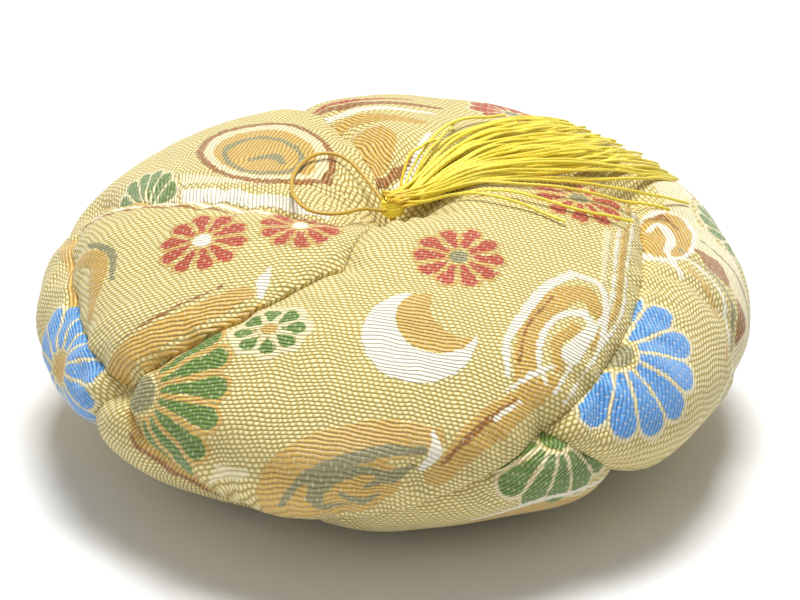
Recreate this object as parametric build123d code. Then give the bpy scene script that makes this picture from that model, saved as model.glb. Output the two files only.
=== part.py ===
from build123d import *
import math
import os

# Pin cushion: six cloth panels sewn into a round, flattened cushion. It is stuffed, tied
# through the middle into a dimple, and topped with a small silk tassel.
# Millimetres, +Z up, origin at the middle of the underside.

# Driving dimensions
RADIUS = 44.0  # cushion, at its widest
WAIST_Z = 16.4  # height of the widest ring
CROWN = 18.2  # rise of the plain dome above the waist
KEEL = 17.4  # fall of the plain bowl below the waist, cut off flat at the base
DIMPLE_DEPTH = 6.4
DIMPLE_WIDTH = 6.0
RECESS_DEPTH = 2.6  # tied hollow in the middle of the underside
RECESS_RADIUS = 8.0

CLOTH = 0.8  # two layers of brocade and lining
SEAM_LAYER = 0.5  # seam allowance, between the cloth and the stuffing
SEAM_WIDTH = 0.5
SEAM_END_GAP = 2.2  # degrees kept free where several seams meet
MIDDLE_RADIUS = 2.4  # no seam thread inside this radius, where all panels meet

TIE_RADIUS = 0.35
TIE_HOLE_RADIUS = 0.4
KNOT_RADIUS = 1.0
KNOT_Z = 1.45
BINDING_RADIUS = 1.5
BINDING_BOTTOM = 29.3
BINDING_TOP = 31.8
BINDING_EDGE = 0.4

TASSEL_CLEARANCE = 0.25  # under the skein
TASSEL_THICKNESS = 2.2
THREAD_DIAMETER = 0.45

# Corners of the panels: (degrees round from +X, degrees down from the top)
TOP = (0.0, 0.0)
BASE = (0.0, 180.0)
FRONT_LEFT = (218.6, 76.1)
FRONT_RIGHT = (296.5, 73.8)
BACK_LEFT = (162.0, 63.6)
BACK_RIGHT = (11.7, 44.1)
UNDER_FRONT = (248.7, 128.8)
UNDER_LEFT = (203.0, 130.0)
UNDER_RIGHT = (326.0, 138.0)
FRONT_BEND_HIGH = (251.0, 25.0)  # where the two seams of the left panel turn
FRONT_BEND_LOW = (234.0, 43.0)
BACK_BEND_HIGH = (235.0, 14.0)
BACK_BEND_LOW = (189.0, 24.0)
BACK_SEAM = 110.0  # degrees round, from the top to the base

# Outline of the tassel's skein, seen from above
TASSEL_OUTLINE = [
    (0.4, -0.9),
    (8.0, -2.0),
    (16.0, -1.2),
    (26.0, 2.8),
    (34.0, 8.5),
    (37.5, 14.5),
    (36.5, 19.5),
    (32.0, 24.0),
    (25.0, 28.0),
    (18.5, 27.5),
    (12.0, 19.5),
    (6.5, 11.0),
    (0.2, 1.2),
]

# Loose loop of thread that leaves the binding, lies on the cushion and comes back
THREAD_ROUTE = [
    (-1.1, 0.9, 30.5),
    (-3.0, 3.9, 32.0),
    (-5.9, 7.0, 33.9),
    (-9.2, 7.2, 34.2),
    (-11.4, 4.0, 34.2),
    (-12.4, -0.4, 34.2),
    (-12.0, -5.0, 34.2),
    (-9.9, -8.6, 34.2),
    (-6.4, -9.2, 34.2),
    (-3.6, -6.0, 33.4),
    (-2.0, -2.8, 31.4),
    (-0.9, -1.0, 30.3),
]

LIMB = 300.0  # length of the cutting pyramids, well past the cushion
SAMPLES = 26  # points of each outline curve
STEP = 1e-4  # for slopes


def dome(t):
    """Outline of the cushion's outside: radius and height at t degrees down from the top."""
    angle = math.radians(t)
    radius = RADIUS * math.sin(angle)
    if t <= 90:
        well = DIMPLE_DEPTH * math.exp(-((radius / DIMPLE_WIDTH) ** 1.5))
        return radius, WAIST_Z + CROWN * math.cos(angle) - well
    return radius, WAIST_Z + KEEL * math.cos(angle)


def hollow(share):
    """Outline of the tied hollow under the middle, from its rim (0) to the axis (1)."""
    radius = RECESS_RADIUS * (1 - share)
    return radius, RECESS_DEPTH * (1 - (1 - share) ** 2) ** 2


def inset(curve, at, depth):
    """A point of the curve, moved depth into the cushion at right angles to it."""
    r0, z0 = curve(at)
    r1, z1 = curve(at + STEP)
    length = math.hypot(r1 - r0, z1 - z0)
    return max(0.0, r0 + depth * (z1 - z0) / length), z0 - depth * (r1 - r0) / length


def base_angle(depth):
    """Degrees down from the top at which the inset outline reaches the inset base."""
    low, high = 91.0, 179.0
    for _ in range(50):
        middle = (low + high) / 2
        if inset(dome, middle, depth)[1] > depth:
            low = middle
        else:
            high = middle
    return low


def cushion(depth=0.0):
    """The whole cushion as one solid, with its surface moved depth inwards."""
    last = base_angle(depth)
    side = [inset(dome, last * i / SAMPLES, depth) for i in range(SAMPLES + 1)]
    side[0] = (0.0, side[0][1])
    under = [inset(hollow, i / 8, depth) for i in range(8)]
    under[0] = (RECESS_RADIUS, depth)
    under.append((0.0, RECESS_DEPTH + depth))
    outline = [
        Spline([(r, 0, z) for r, z in side]),
        Line((side[-1][0], 0, depth), (RECESS_RADIUS, 0, depth)),
        Spline([(r, 0, z) for r, z in under]),
        Line((0, 0, under[-1][1]), (0, 0, side[0][1])),
    ]
    side_end = Vector(side[-1][0], 0, side[-1][1])
    base_start = Vector(side[-1][0], 0, depth)
    if (side_end - base_start).length > 1e-6:
        outline.insert(1, Line(side_end, base_start))
    return revolve(Face(Wire(outline)), Axis.Z, 360)


def toward(corner):
    """The direction from the cushion's middle to a corner."""
    around, t = math.radians(corner[0]), math.radians(corner[1])
    rise = CROWN if corner[1] <= 90 else KEEL
    radius = RADIUS * math.sin(t)
    return Vector(radius * math.cos(around), radius * math.sin(around), rise * math.cos(t)).normalized()


def pyramid(a, b, c):
    """A long three-sided pyramid from the cushion's middle through three corners."""
    middle = Vector(0, 0, WAIST_Z)
    p, q, r = (middle + toward(corner) * LIMB for corner in (a, b, c))
    sides = [(middle, p, q), (middle, q, r), (middle, r, p), (p, q, r)]
    return Solid(Shell([Face(Wire.make_polygon(side)) for side in sides]))


def panel(skin, *triangles):
    """The part of the cloth inside the pyramids over these triangles of corners."""
    cutter = pyramid(*triangles[0])
    for triangle in triangles[1:]:
        cutter = cutter + pyramid(*triangle)
    return skin & cutter


def between(a, b, share):
    """The direction a share of the way along the turn from direction a to direction b."""
    turn = math.radians(a.get_angle(b))
    return (a * math.sin((1 - share) * turn) + b * math.sin(share * turn)) / math.sin(turn)


def seam_wall(start, end, trim_start, trim_end):
    """A thin flat wall from the middle out through a seam, short of trimmed ends."""
    a, b = toward(start), toward(end)
    turn = a.get_angle(b)
    first, last = trim_start / turn, 1 - trim_end / turn
    middle = Vector(0, 0, WAIST_Z)
    shares = [first + (last - first) * i / 3 for i in range(4)]
    points = [middle] + [middle + between(a, b, share) * 2 * RADIUS for share in shares]
    face = Face(Wire.make_polygon(points))
    return extrude(face, SEAM_WIDTH / 2, both=True)


def seam_thread(layer, *corners):
    """The line of stitching along a seam that runs through these corners."""
    last = len(corners) - 2
    thread = None
    for i in range(last + 1):
        wall = seam_wall(
            corners[i],
            corners[i + 1],
            SEAM_END_GAP if i == 0 else 0.0,
            SEAM_END_GAP if i == last else 0.0,
        )
        thread = wall if thread is None else thread + wall
    return (layer & thread) - Cylinder(MIDDLE_RADIUS, 4 * RADIUS)


def tie_thread():
    """Doubled thread drawn tight from the knot below to the binding above."""
    bottom = KNOT_Z + KNOT_RADIUS / 2
    height = BINDING_BOTTOM - bottom
    return Pos(0, 0, bottom + height / 2) * Cylinder(TIE_RADIUS, height) - base_knot()


def base_knot():
    """Finishing knot in the hollow of the underside."""
    return Pos(0, 0, KNOT_Z) * Sphere(KNOT_RADIUS)


def tassel_binding():
    """Thread wound round the root of the tassel."""
    height = BINDING_TOP - BINDING_BOTTOM
    barrel = Pos(0, 0, BINDING_BOTTOM + height / 2) * Cylinder(BINDING_RADIUS, height)
    return fillet(barrel.edges().group_by(Axis.Z)[-1], BINDING_EDGE)


def tassel_skein(body):
    """Loose silk strands, as one mat that lies over the crown towards the back right."""
    outline = Face(Wire([Spline(TASSEL_OUTLINE, periodic=True)]))
    column = extrude(Pos(0, 0, WAIST_Z) * outline, 2 * CROWN)
    mat = column & (Pos(0, 0, TASSEL_CLEARANCE + TASSEL_THICKNESS) * body)
    mat = mat - Pos(0, 0, TASSEL_CLEARANCE) * body
    return mat - Cylinder(BINDING_RADIUS, 4 * RADIUS)


def route_radii(points):
    """The largest arc for each inner point of a route: 0.45 of the shorter run over tan of half the turn."""
    radii = []
    for before, here, after in zip(points, points[1:], points[2:]):
        first, second = here - before, after - here
        half_turn = math.radians(first.get_angle(second)) / 2
        radii.append(0.45 * min(first.length, second.length) / math.tan(half_turn))
    return radii


def loose_thread():
    """One strand of silk that comes loose in a loop."""
    points = [Vector(*point) for point in THREAD_ROUTE]
    radii = route_radii(points)
    print("loose_thread radii", [round(radius, 1) for radius in radii])
    path = FilletPolyline(points, radius=radii)
    section = Plane(path @ 0, z_dir=path % 0) * Circle(THREAD_DIAMETER / 2)
    thread = sweep(section, path)
    expected = math.pi * THREAD_DIAMETER**2 / 4 * path.length
    print("loose_thread length", round(path.length, 1), "volume", round(thread.volume, 2), round(expected, 2))
    return thread


def build():
    """Every node's solid by name."""
    body = cushion()
    lining = cushion(CLOTH)
    core = cushion(CLOTH + SEAM_LAYER)
    tie_hole = Cylinder(TIE_HOLE_RADIUS, 4 * RADIUS)
    skin = body - lining - tie_hole
    layer = lining - core

    back_top = (BACK_SEAM, 90.0)
    mid_back_left = (BACK_LEFT[0], 90.0)
    right_ring = [(BACK_RIGHT[0], 90.0), (60.0, 90.0), back_top]
    nodes = {
        "front_panel": panel(
            skin,
            (TOP, FRONT_BEND_HIGH, FRONT_RIGHT),
            (FRONT_BEND_HIGH, UNDER_FRONT, FRONT_RIGHT),
            (FRONT_BEND_HIGH, FRONT_BEND_LOW, UNDER_FRONT),
            (FRONT_BEND_LOW, FRONT_LEFT, UNDER_FRONT),
            (TOP, FRONT_RIGHT, BACK_RIGHT),
        ),
        "left_panel": panel(
            skin,
            (TOP, BACK_BEND_HIGH, FRONT_BEND_HIGH),
            (BACK_BEND_HIGH, FRONT_BEND_HIGH, FRONT_BEND_LOW),
            (BACK_BEND_HIGH, FRONT_BEND_LOW, BACK_BEND_LOW),
            (BACK_BEND_LOW, FRONT_BEND_LOW, FRONT_LEFT),
            (BACK_BEND_LOW, FRONT_LEFT, BACK_LEFT),
        ),
        "back_left_panel": panel(
            skin,
            (TOP, BACK_BEND_HIGH, BACK_BEND_LOW),
            (TOP, BACK_BEND_LOW, BACK_LEFT),
            (TOP, back_top, mid_back_left),
            (BASE, back_top, mid_back_left),
            (BASE, BACK_LEFT, UNDER_LEFT),
            (BACK_LEFT, FRONT_LEFT, UNDER_LEFT),
        ),
        "right_panel": panel(
            skin,
            *[(pole, a, b) for a, b in zip(right_ring, right_ring[1:]) for pole in (TOP, BASE)],
            (BASE, UNDER_RIGHT, BACK_RIGHT),
            (UNDER_RIGHT, FRONT_RIGHT, BACK_RIGHT),
        ),
        "lower_left_panel": panel(
            skin,
            (UNDER_FRONT, FRONT_LEFT, UNDER_LEFT),
            (UNDER_FRONT, UNDER_LEFT, BASE),
        ),
        "lower_right_panel": panel(
            skin,
            (UNDER_FRONT, FRONT_RIGHT, UNDER_RIGHT),
            (UNDER_FRONT, UNDER_RIGHT, BASE),
        ),
        "stuffing": core - tie_hole,
    }
    seams = {
        "seam_thread_front_left": (TOP, FRONT_BEND_HIGH, FRONT_BEND_LOW, FRONT_LEFT),
        "seam_thread_back_left": (TOP, BACK_BEND_HIGH, BACK_BEND_LOW, BACK_LEFT),
        "seam_thread_back": (TOP, back_top, BASE),
        "seam_thread_back_right": (TOP, BACK_RIGHT),
        "seam_thread_left_side": (BACK_LEFT, FRONT_LEFT),
        "seam_thread_right_side": (BACK_RIGHT, FRONT_RIGHT),
        "seam_thread_lower_left": (FRONT_LEFT, UNDER_FRONT),
        "seam_thread_lower_right": (FRONT_RIGHT, UNDER_FRONT),
        "seam_thread_under_left": (FRONT_LEFT, UNDER_LEFT, BASE),
        "seam_thread_under_right": (FRONT_RIGHT, UNDER_RIGHT, BASE),
        "seam_thread_under_front": (UNDER_FRONT, BASE),
    }
    for name, corners in seams.items():
        nodes[name] = seam_thread(layer, *corners)
    nodes["tie_thread"] = tie_thread()
    nodes["base_knot"] = base_knot()
    nodes["tassel_binding"] = tassel_binding()
    nodes["tassel_skein"] = tassel_skein(body)
    nodes["loose_thread"] = loose_thread()
    return nodes


os.makedirs("parts", exist_ok=True)
for name, shape in build().items():
    export_step(shape, f"parts/{name}.step")
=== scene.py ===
"""Pin cushion: six brocade panels sewn over wadding, tied into a dimple, with a silk tassel.

Lengths are in millimetres until a mesh is made, and in metres on every object.
"""

import math

import bmesh
import bpy
import numpy as np
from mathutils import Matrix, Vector, kdtree


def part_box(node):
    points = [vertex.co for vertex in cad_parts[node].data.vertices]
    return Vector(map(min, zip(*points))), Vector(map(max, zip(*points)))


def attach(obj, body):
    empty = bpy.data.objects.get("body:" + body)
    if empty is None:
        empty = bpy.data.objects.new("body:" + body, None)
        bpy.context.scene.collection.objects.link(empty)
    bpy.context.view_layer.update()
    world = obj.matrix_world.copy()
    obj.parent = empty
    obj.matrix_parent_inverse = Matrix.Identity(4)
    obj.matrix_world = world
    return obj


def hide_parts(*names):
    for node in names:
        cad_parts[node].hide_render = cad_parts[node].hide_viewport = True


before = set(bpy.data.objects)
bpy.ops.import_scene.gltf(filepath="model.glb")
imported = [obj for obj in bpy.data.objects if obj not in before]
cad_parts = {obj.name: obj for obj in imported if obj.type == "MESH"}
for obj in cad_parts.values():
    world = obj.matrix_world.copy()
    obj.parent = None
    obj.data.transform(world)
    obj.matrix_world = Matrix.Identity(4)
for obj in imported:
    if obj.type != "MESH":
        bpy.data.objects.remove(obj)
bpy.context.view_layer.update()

MM = 0.001
SEED = 7

# The cushion's form, as the part is designed
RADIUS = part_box("right_panel")[1][0] / MM
WAIST = 16.4
CROWN = 18.2
KEEL = 17.4
DIMPLE_DEPTH, DIMPLE_WIDTH = 6.4, 6.0
RECESS_DEPTH, RECESS_RADIUS = 2.6, 8.0

# How the cloth stands off that form
PUFF = 0.9  # rise of a panel between its seams
DRAWN_IN = 0.6  # how far the sewing draws the whole surface in
PUFF_REACH = 6.0
VALLEY_REACH = 1.25
HEM = 1.7  # cloth turned in at a seam
GATHER = 0.35  # share by which the sewing pulls unevenly along a seam
TUCKS = ((0.30, 40, 0.15, 1.7), (0.22, 60, -0.3, 3.4))  # depth, seed, slant, spacing in mm
TUCK_REACH, FOLD_REACH = 3.2, 2.6
CREASE_MIDDLE, CREASE_REACH = 6.0, 5.0  # mm out from the dimple's middle
DEEPEST, SOFT_LIMIT = 1.5, 1.6  # folds deeper than this are eased off
LUMPS = ((0.35, 3, 26), (0.16, 5, 11))  # height, seed, size in mm
WADDING_INSET = 4.2
HEM_LOWEST, WADDING_LOWEST = 0.3, 1.3  # above the table
CLOTH_EDGES = 8  # icosphere level of the cloth
WADDING_EDGES = 6

# Corners of the panels: degrees round from +X, degrees down from the top
TOP = (0.0, 0.0)
BASE = (0.0, 180.0)
FRONT_LEFT = (218.6, 76.1)
FRONT_RIGHT = (296.5, 73.8)
BACK_LEFT = (162.0, 63.6)
BACK_RIGHT = (11.7, 44.1)
UNDER_FRONT = (248.7, 128.8)
UNDER_LEFT = (203.0, 130.0)
UNDER_RIGHT = (326.0, 138.0)
BACK = (110.0, 90.0)
LEFT_SIDE = (162.0, 90.0)
RIGHT_SIDE = (11.7, 90.0)
FAR_SIDE = (60.0, 90.0)
FRONT_BEND_HIGH = (251.0, 25.0)
FRONT_BEND_LOW = (234.0, 43.0)
BACK_BEND_HIGH = (235.0, 14.0)
BACK_BEND_LOW = (189.0, 24.0)

# Seams: the corners each runs through, and how deep it pulls the cloth in at its two ends
SEAMS = {
    "front_left": ((TOP, FRONT_BEND_HIGH, FRONT_BEND_LOW, FRONT_LEFT), 0.7, 1.7),
    "back_left": ((TOP, BACK_BEND_HIGH, BACK_BEND_LOW, BACK_LEFT), 0.8, 0.9),
    "back": ((TOP, BACK, BASE), 0.8, 0.8),
    "back_right": ((TOP, BACK_RIGHT), 0.6, 1.0),
    "left_side": ((BACK_LEFT, FRONT_LEFT), 0.7, 1.3),
    "right_side": ((BACK_RIGHT, FRONT_RIGHT), 1.0, 1.5),
    "lower_left": ((FRONT_LEFT, UNDER_FRONT), 1.2, 0.8),
    "lower_right": ((FRONT_RIGHT, UNDER_FRONT), 1.3, 0.8),
    "under_left": ((FRONT_LEFT, UNDER_LEFT, BASE), 1.3, 0.7),
    "under_right": ((FRONT_RIGHT, UNDER_RIGHT, BASE), 1.3, 0.7),
    "under_front": ((UNDER_FRONT, BASE), 0.8, 0.7),
}

# Panels: the triangles of corners they cover, the middle that their cloth is laid out from,
# how far the cloth is turned, and which seams they fold over
PANELS = {
    "front_panel": dict(
        triangles=[
            (TOP, FRONT_BEND_HIGH, FRONT_RIGHT),
            (FRONT_BEND_HIGH, UNDER_FRONT, FRONT_RIGHT),
            (FRONT_BEND_HIGH, FRONT_BEND_LOW, UNDER_FRONT),
            (FRONT_BEND_LOW, FRONT_LEFT, UNDER_FRONT),
            (TOP, FRONT_RIGHT, BACK_RIGHT),
        ],
        middle=(272.0, 52.0),
        turn=-12.0,
        over={"lower_right": 0.35, "lower_left": 0.2},
    ),
    "left_panel": dict(
        triangles=[
            (TOP, BACK_BEND_HIGH, FRONT_BEND_HIGH),
            (BACK_BEND_HIGH, FRONT_BEND_HIGH, FRONT_BEND_LOW),
            (BACK_BEND_HIGH, FRONT_BEND_LOW, BACK_BEND_LOW),
            (BACK_BEND_LOW, FRONT_BEND_LOW, FRONT_LEFT),
            (BACK_BEND_LOW, FRONT_LEFT, BACK_LEFT),
        ],
        middle=(195.0, 42.0),
        turn=72.0,
        over={"front_left": 0.55},
    ),
    "back_left_panel": dict(
        triangles=[
            (TOP, BACK_BEND_HIGH, BACK_BEND_LOW),
            (TOP, BACK_BEND_LOW, BACK_LEFT),
            (TOP, BACK, LEFT_SIDE),
            (BASE, BACK, LEFT_SIDE),
            (BASE, BACK_LEFT, UNDER_LEFT),
            (BACK_LEFT, FRONT_LEFT, UNDER_LEFT),
        ],
        middle=(155.0, 70.0),
        turn=8.0,
        over={"under_left": 0.3},
    ),
    "right_panel": dict(
        triangles=[
            (TOP, RIGHT_SIDE, FAR_SIDE),
            (BASE, RIGHT_SIDE, FAR_SIDE),
            (TOP, FAR_SIDE, BACK),
            (BASE, FAR_SIDE, BACK),
            (BASE, UNDER_RIGHT, BACK_RIGHT),
            (UNDER_RIGHT, FRONT_RIGHT, BACK_RIGHT),
        ],
        middle=(350.0, 70.0),
        turn=35.0,
        over={"right_side": 0.25},
    ),
    "lower_left_panel": dict(
        triangles=[
            (UNDER_FRONT, FRONT_LEFT, UNDER_LEFT),
            (UNDER_FRONT, UNDER_LEFT, BASE),
        ],
        middle=(228.0, 115.0),
        turn=58.0,
        over={},
    ),
    "lower_right_panel": dict(
        triangles=[
            (UNDER_FRONT, FRONT_RIGHT, UNDER_RIGHT),
            (UNDER_FRONT, UNDER_RIGHT, BASE),
        ],
        middle=(290.0, 112.0),
        turn=25.0,
        over={},
    ),
}

# ---------------------------------------------------------------- form


def unit(corner):
    """The direction of a corner on a unit ball."""
    around, down = math.radians(corner[0]), math.radians(corner[1])
    side = math.sin(down)
    return np.array([side * math.cos(around), side * math.sin(around), math.cos(down)])


def dimple(radius):
    """How deep the dimple is at a distance from the middle."""
    return DIMPLE_DEPTH * np.exp(-((radius / DIMPLE_WIDTH) ** 1.5))


def eased(share):
    """A share from 0 to 1 that starts and stops gently."""
    return share * share * (3 - 2 * share)


def along_line(line):
    """How far along a line each of its points lies."""
    return np.concatenate([[0], np.cumsum(np.linalg.norm(np.diff(line, axis=0), axis=1))])


def form(ball):
    """The plain cushion's points for directions on a unit ball."""
    radius = RADIUS * np.hypot(ball[:, 0], ball[:, 1])
    well = dimple(radius)
    bowl = np.maximum(WAIST + KEEL * ball[:, 2], 0)
    hollow = RECESS_DEPTH * np.clip(1 - (radius / RECESS_RADIUS) ** 2, 0, 1) ** 2
    height = np.where(ball[:, 2] >= 0, WAIST + CROWN * ball[:, 2] - well, bowl + hollow)
    return np.column_stack([RADIUS * ball[:, :2], height])


def outward(ball):
    """Unit normals of the plain cushion, without its dimple."""
    rise = np.where(ball[:, 2] >= 0, CROWN, KEEL)
    n = np.column_stack([ball[:, :2] / RADIUS, ball[:, 2] / rise])
    return n / np.linalg.norm(n, axis=1)[:, None]


def top_height(x, y):
    """Height of the plain cushion's upper side over a point."""
    radius = np.hypot(x, y)
    return WAIST + CROWN * np.sqrt(np.maximum(1 - (radius / RADIUS) ** 2, 0)) - dimple(radius)


def turn_between(a, b, count):
    """Directions at even turns from a to b."""
    angle = math.acos(float(np.clip(a @ b, -1, 1)))
    share = np.linspace(0, 1, count)[:, None]
    return (np.sin((1 - share) * angle) * a + np.sin(share * angle) * b) / math.sin(angle)


def seam_line(name, spacing=0.7):
    """Directions along a seam, about spacing mm apart."""
    corners = SEAMS[name][0]
    lines = []
    for start, end in zip(corners, corners[1:]):
        a, b = unit(start), unit(end)
        angle = math.acos(float(np.clip(a @ b, -1, 1)))
        count = max(3, round(angle * RADIUS / spacing))
        lines.append(turn_between(a, b, count)[:-1] if end != corners[-1] else turn_between(a, b, count))
    return np.vstack(lines)


def ripple(at, seed, step):
    """Smooth noise along a line, from -1 to 1, with a new value every step mm."""
    knots = np.random.default_rng(seed).uniform(-1, 1, 400)
    place = np.abs(at) / step
    low = place.astype(int) % 399
    share = eased(place % 1)
    return knots[low] * (1 - share) + knots[low + 1] * share


def lumps(points, seed, size):
    """Smooth noise over the surface, about -1 to 1, with lumps of a given size in mm."""
    rng = np.random.default_rng(seed)
    total = np.zeros(len(points))
    for _ in range(7):
        wave = rng.normal(size=3)
        wave *= 2 * math.pi / size / np.linalg.norm(wave) * rng.uniform(0.7, 1.3)
        total += np.sin(points @ wave + rng.uniform(0, 2 * math.pi))
    return total / 3.5


def seam_distance(points, name):
    """For each point, its distance from a seam and how far along the seam it is, both in mm."""
    line = form(seam_line(name))
    along = along_line(line)
    best = np.full(len(points), 1e9)
    where = np.zeros(len(points))
    for i in range(len(line) - 1):
        step = line[i + 1] - line[i]
        share = np.clip((points - line[i]) @ step / (step @ step), 0, 1)
        far = np.linalg.norm(points - line[i] - share[:, None] * step, axis=1)
        nearer = far < best
        best = np.where(nearer, far, best)
        where = np.where(nearer, along[i] + share * (along[i + 1] - along[i]), where)
    return best, where, along[-1]


# Creases drawn in to the dimple: degrees round, depth, half width in mm
CREASES = [
    (12, 0.7, 0.9),
    (30, 0.5, 0.7),
    (52, 0.7, 0.9),
    (78, 0.9, 0.9),
    (97, 0.6, 0.7),
    (126, 0.9, 0.9),
    (145, 0.6, 0.7),
    (163, 0.8, 0.8),
    (183, 0.7, 0.7),
    (204, 0.9, 0.8),
    (220, 0.6, 0.6),
    (244, 0.9, 0.8),
    (262, 1.0, 0.9),
    (281, 0.8, 0.8),
    (297, 0.6, 0.7),
    (318, 0.8, 0.9),
    (341, 0.7, 0.8),
]

# Where several seams meet and pull the cloth in: corner, depth, reach
PUCKERS = [
    (FRONT_LEFT, 0.9, 3.4),
    (FRONT_RIGHT, 1.1, 3.0),
    (BACK_LEFT, 0.6, 2.5),
    (BACK_RIGHT, 0.5, 2.5),
    (UNDER_FRONT, 0.8, 2.5),
]


def stand_off(ball, points, over):
    """How far the cloth stands off the plain form, in mm."""
    nearest = np.full(len(points), 1e9)
    pulled = np.zeros(len(points))
    for number, (name, (_, first, last)) in enumerate(SEAMS.items()):
        far, along, length = seam_distance(points, name)
        share = along / length
        gather = 1 + GATHER * ripple(along, 11 + number, 2.3)
        valley = (first + (last - first) * share) * gather * np.exp(-far / VALLEY_REACH)
        tucks = sum(
            depth * ripple(along + slant * far, seed + number, step) for depth, seed, slant, step in TUCKS
        )
        pulled -= valley + tucks * np.exp(-((far / TUCK_REACH) ** 2)) * (0.4 + share * 0.6)
        lift = over.get(name, 0)
        pulled += lift * np.exp(-((far / FOLD_REACH) ** 2)) * np.clip(share * 3, 0, 1)
        nearest = np.minimum(nearest, far)
    puff = BLOWN.rise_at(points) if BLOWN else PUFF * (1 - np.exp(-((nearest / PUFF_REACH) ** 2)))
    radius = np.hypot(points[:, 0], points[:, 1])
    around = np.arctan2(points[:, 1], points[:, 0])
    upper = ball[:, 2] > 0
    for degrees, depth, width in CREASES:
        off = np.angle(np.exp(1j * (around - math.radians(degrees)))) * np.maximum(radius, 1.0)
        fade = np.exp(-(((radius - CREASE_MIDDLE) / CREASE_REACH) ** 2))
        pulled -= np.where(upper, depth * np.exp(-((off / width) ** 2)) * fade, 0)
    for corner, depth, reach in PUCKERS:
        off = np.linalg.norm(points - form(unit(corner)[None])[0], axis=1)
        pulled -= depth * np.exp(-((off / reach) ** 1.5))
    soft = sum(height * lumps(points, seed, size) for height, seed, size in LUMPS)
    soft *= 1 - np.exp(-((radius / 7) ** 2))
    flat = np.clip(points[:, 2] / 3.0, 0, 1)
    eased_off = -DEEPEST - SOFT_LIMIT * np.tanh((-DEEPEST - pulled) / SOFT_LIMIT)
    pulled = np.where(pulled < -DEEPEST, eased_off, pulled)
    return (puff + soft - DRAWN_IN) * flat + pulled


def drape(ball, over):
    """The cloth's points for directions on the ball."""
    points = form(ball)
    points = points + outward(ball) * stand_off(ball, points, over)[:, None]
    points[:, 2] = np.maximum(points[:, 2], 0)
    return points


# ---------------------------------------------------------------- meshes


def ball_mesh(level):
    """Points and triangles of an evenly divided unit ball."""
    bm = bmesh.new()
    bmesh.ops.create_icosphere(bm, subdivisions=level, radius=1.0)
    points = np.array([v.co for v in bm.verts])
    triangles = np.array([[v.index for v in f.verts] for f in bm.faces])
    bm.free()
    return points, triangles


def cut_triangle(points, triangles, corners):
    """The part of the ball inside one triangle of corners, as points and faces."""
    directions = [unit(corner) for corner in corners]
    middle = sum(directions)
    planes = []
    for a, b in zip(directions, directions[1:] + directions[:1]):
        n = np.cross(a, b)
        n /= np.linalg.norm(n)
        planes.append(n if n @ middle > 0 else -n)
    keep = np.ones(len(triangles), bool)
    for n in planes:
        keep &= (points @ n)[triangles].max(axis=1) > -1e-6
    used, faces = np.unique(triangles[keep], return_inverse=True)
    mesh = bpy.data.meshes.new("cut")
    mesh.from_pydata(points[used].tolist(), [], faces.reshape(-1, 3).tolist())
    bm = bmesh.new()
    bm.from_mesh(mesh)
    bpy.data.meshes.remove(mesh)
    for n in planes:
        whole = bm.verts[:] + bm.edges[:] + bm.faces[:]
        bmesh.ops.bisect_plane(bm, geom=whole, dist=1e-6, plane_no=Vector(-n), clear_outer=True)
    bm.verts.index_update()
    found = np.array([v.co for v in bm.verts])
    polygons = [[v.index for v in f.verts] for f in bm.faces]
    bm.free()
    return found, polygons


def panel_ball(points, triangles, panel):
    """A panel's part of the ball: welded points, faces, and its edge loop as pairs of points."""
    bm = bmesh.new()
    for corners in panel["triangles"]:
        found, polygons = cut_triangle(points, triangles, corners)
        verts = [bm.verts.new(p) for p in found]
        for polygon in polygons:
            bm.faces.new([verts[i] for i in polygon])
    bmesh.ops.remove_doubles(bm, verts=bm.verts[:], dist=3e-5)
    bmesh.ops.dissolve_degenerate(bm, dist=1e-6, edges=bm.edges[:])
    bm.verts.index_update()
    found = np.array([v.co for v in bm.verts])
    found /= np.linalg.norm(found, axis=1)[:, None]
    polygons = [[v.index for v in f.verts] for f in bm.faces]
    rim = []
    for edge in bm.edges:
        if edge.is_boundary:
            loop = edge.link_loops[0]
            rim.append((loop.vert.index, loop.link_loop_next.vert.index))
    bm.free()
    return found, polygons, rim


def new_object(name, points, faces, material):
    """A mesh object from points in mm."""
    mesh = bpy.data.meshes.new(name)
    mesh.from_pydata((np.asarray(points) * MM).tolist(), [], [list(f) for f in faces])
    mesh.update()
    mesh.polygons.foreach_set("use_smooth", [True] * len(mesh.polygons))
    if material:
        mesh.materials.append(material)
    piece = bpy.data.objects.new(name, mesh)
    bpy.context.scene.collection.objects.link(piece)
    return piece


def set_attribute(mesh, name, values):
    layer = mesh.attributes.new(name, "FLOAT", "POINT")
    layer.data.foreach_set("value", np.asarray(values, np.float32))


def set_uv(mesh, coordinates):
    """A UV map named cloth, from one pair of values for each point."""
    layer = mesh.uv_layers.new(name="cloth")
    loops = np.zeros(len(mesh.loops), np.int32)
    mesh.loops.foreach_get("vertex_index", loops)
    layer.data.foreach_set("uv", coordinates[loops].astype(np.float32).ravel())


def tangent_frame(middle, turn=0.0):
    """A point of the form, with the directions across and up the cloth there."""
    direction = unit(middle)[None]
    origin = form(direction)[0]
    normal = outward(direction)[0]
    across = np.cross([0, 0, 1.0], normal)
    across /= np.linalg.norm(across)
    up = np.cross(normal, across)
    angle = math.radians(turn)
    turned = math.cos(angle) * across + math.sin(angle) * up
    return origin, turned, np.cross(normal, turned)


def laid_out(points, middle, turn=0.0):
    """Where the points lie on cloth laid out flat from a middle: mm across and mm up."""
    origin, across, up = tangent_frame(middle, turn)
    offset = points - origin
    flat = np.column_stack([offset @ across, offset @ up])
    length = np.maximum(np.linalg.norm(flat, axis=1), 1e-9)
    return flat * (np.linalg.norm(offset, axis=1) / length)[:, None]


# ---------------------------------------------------------------- stuffing the cloth

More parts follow.
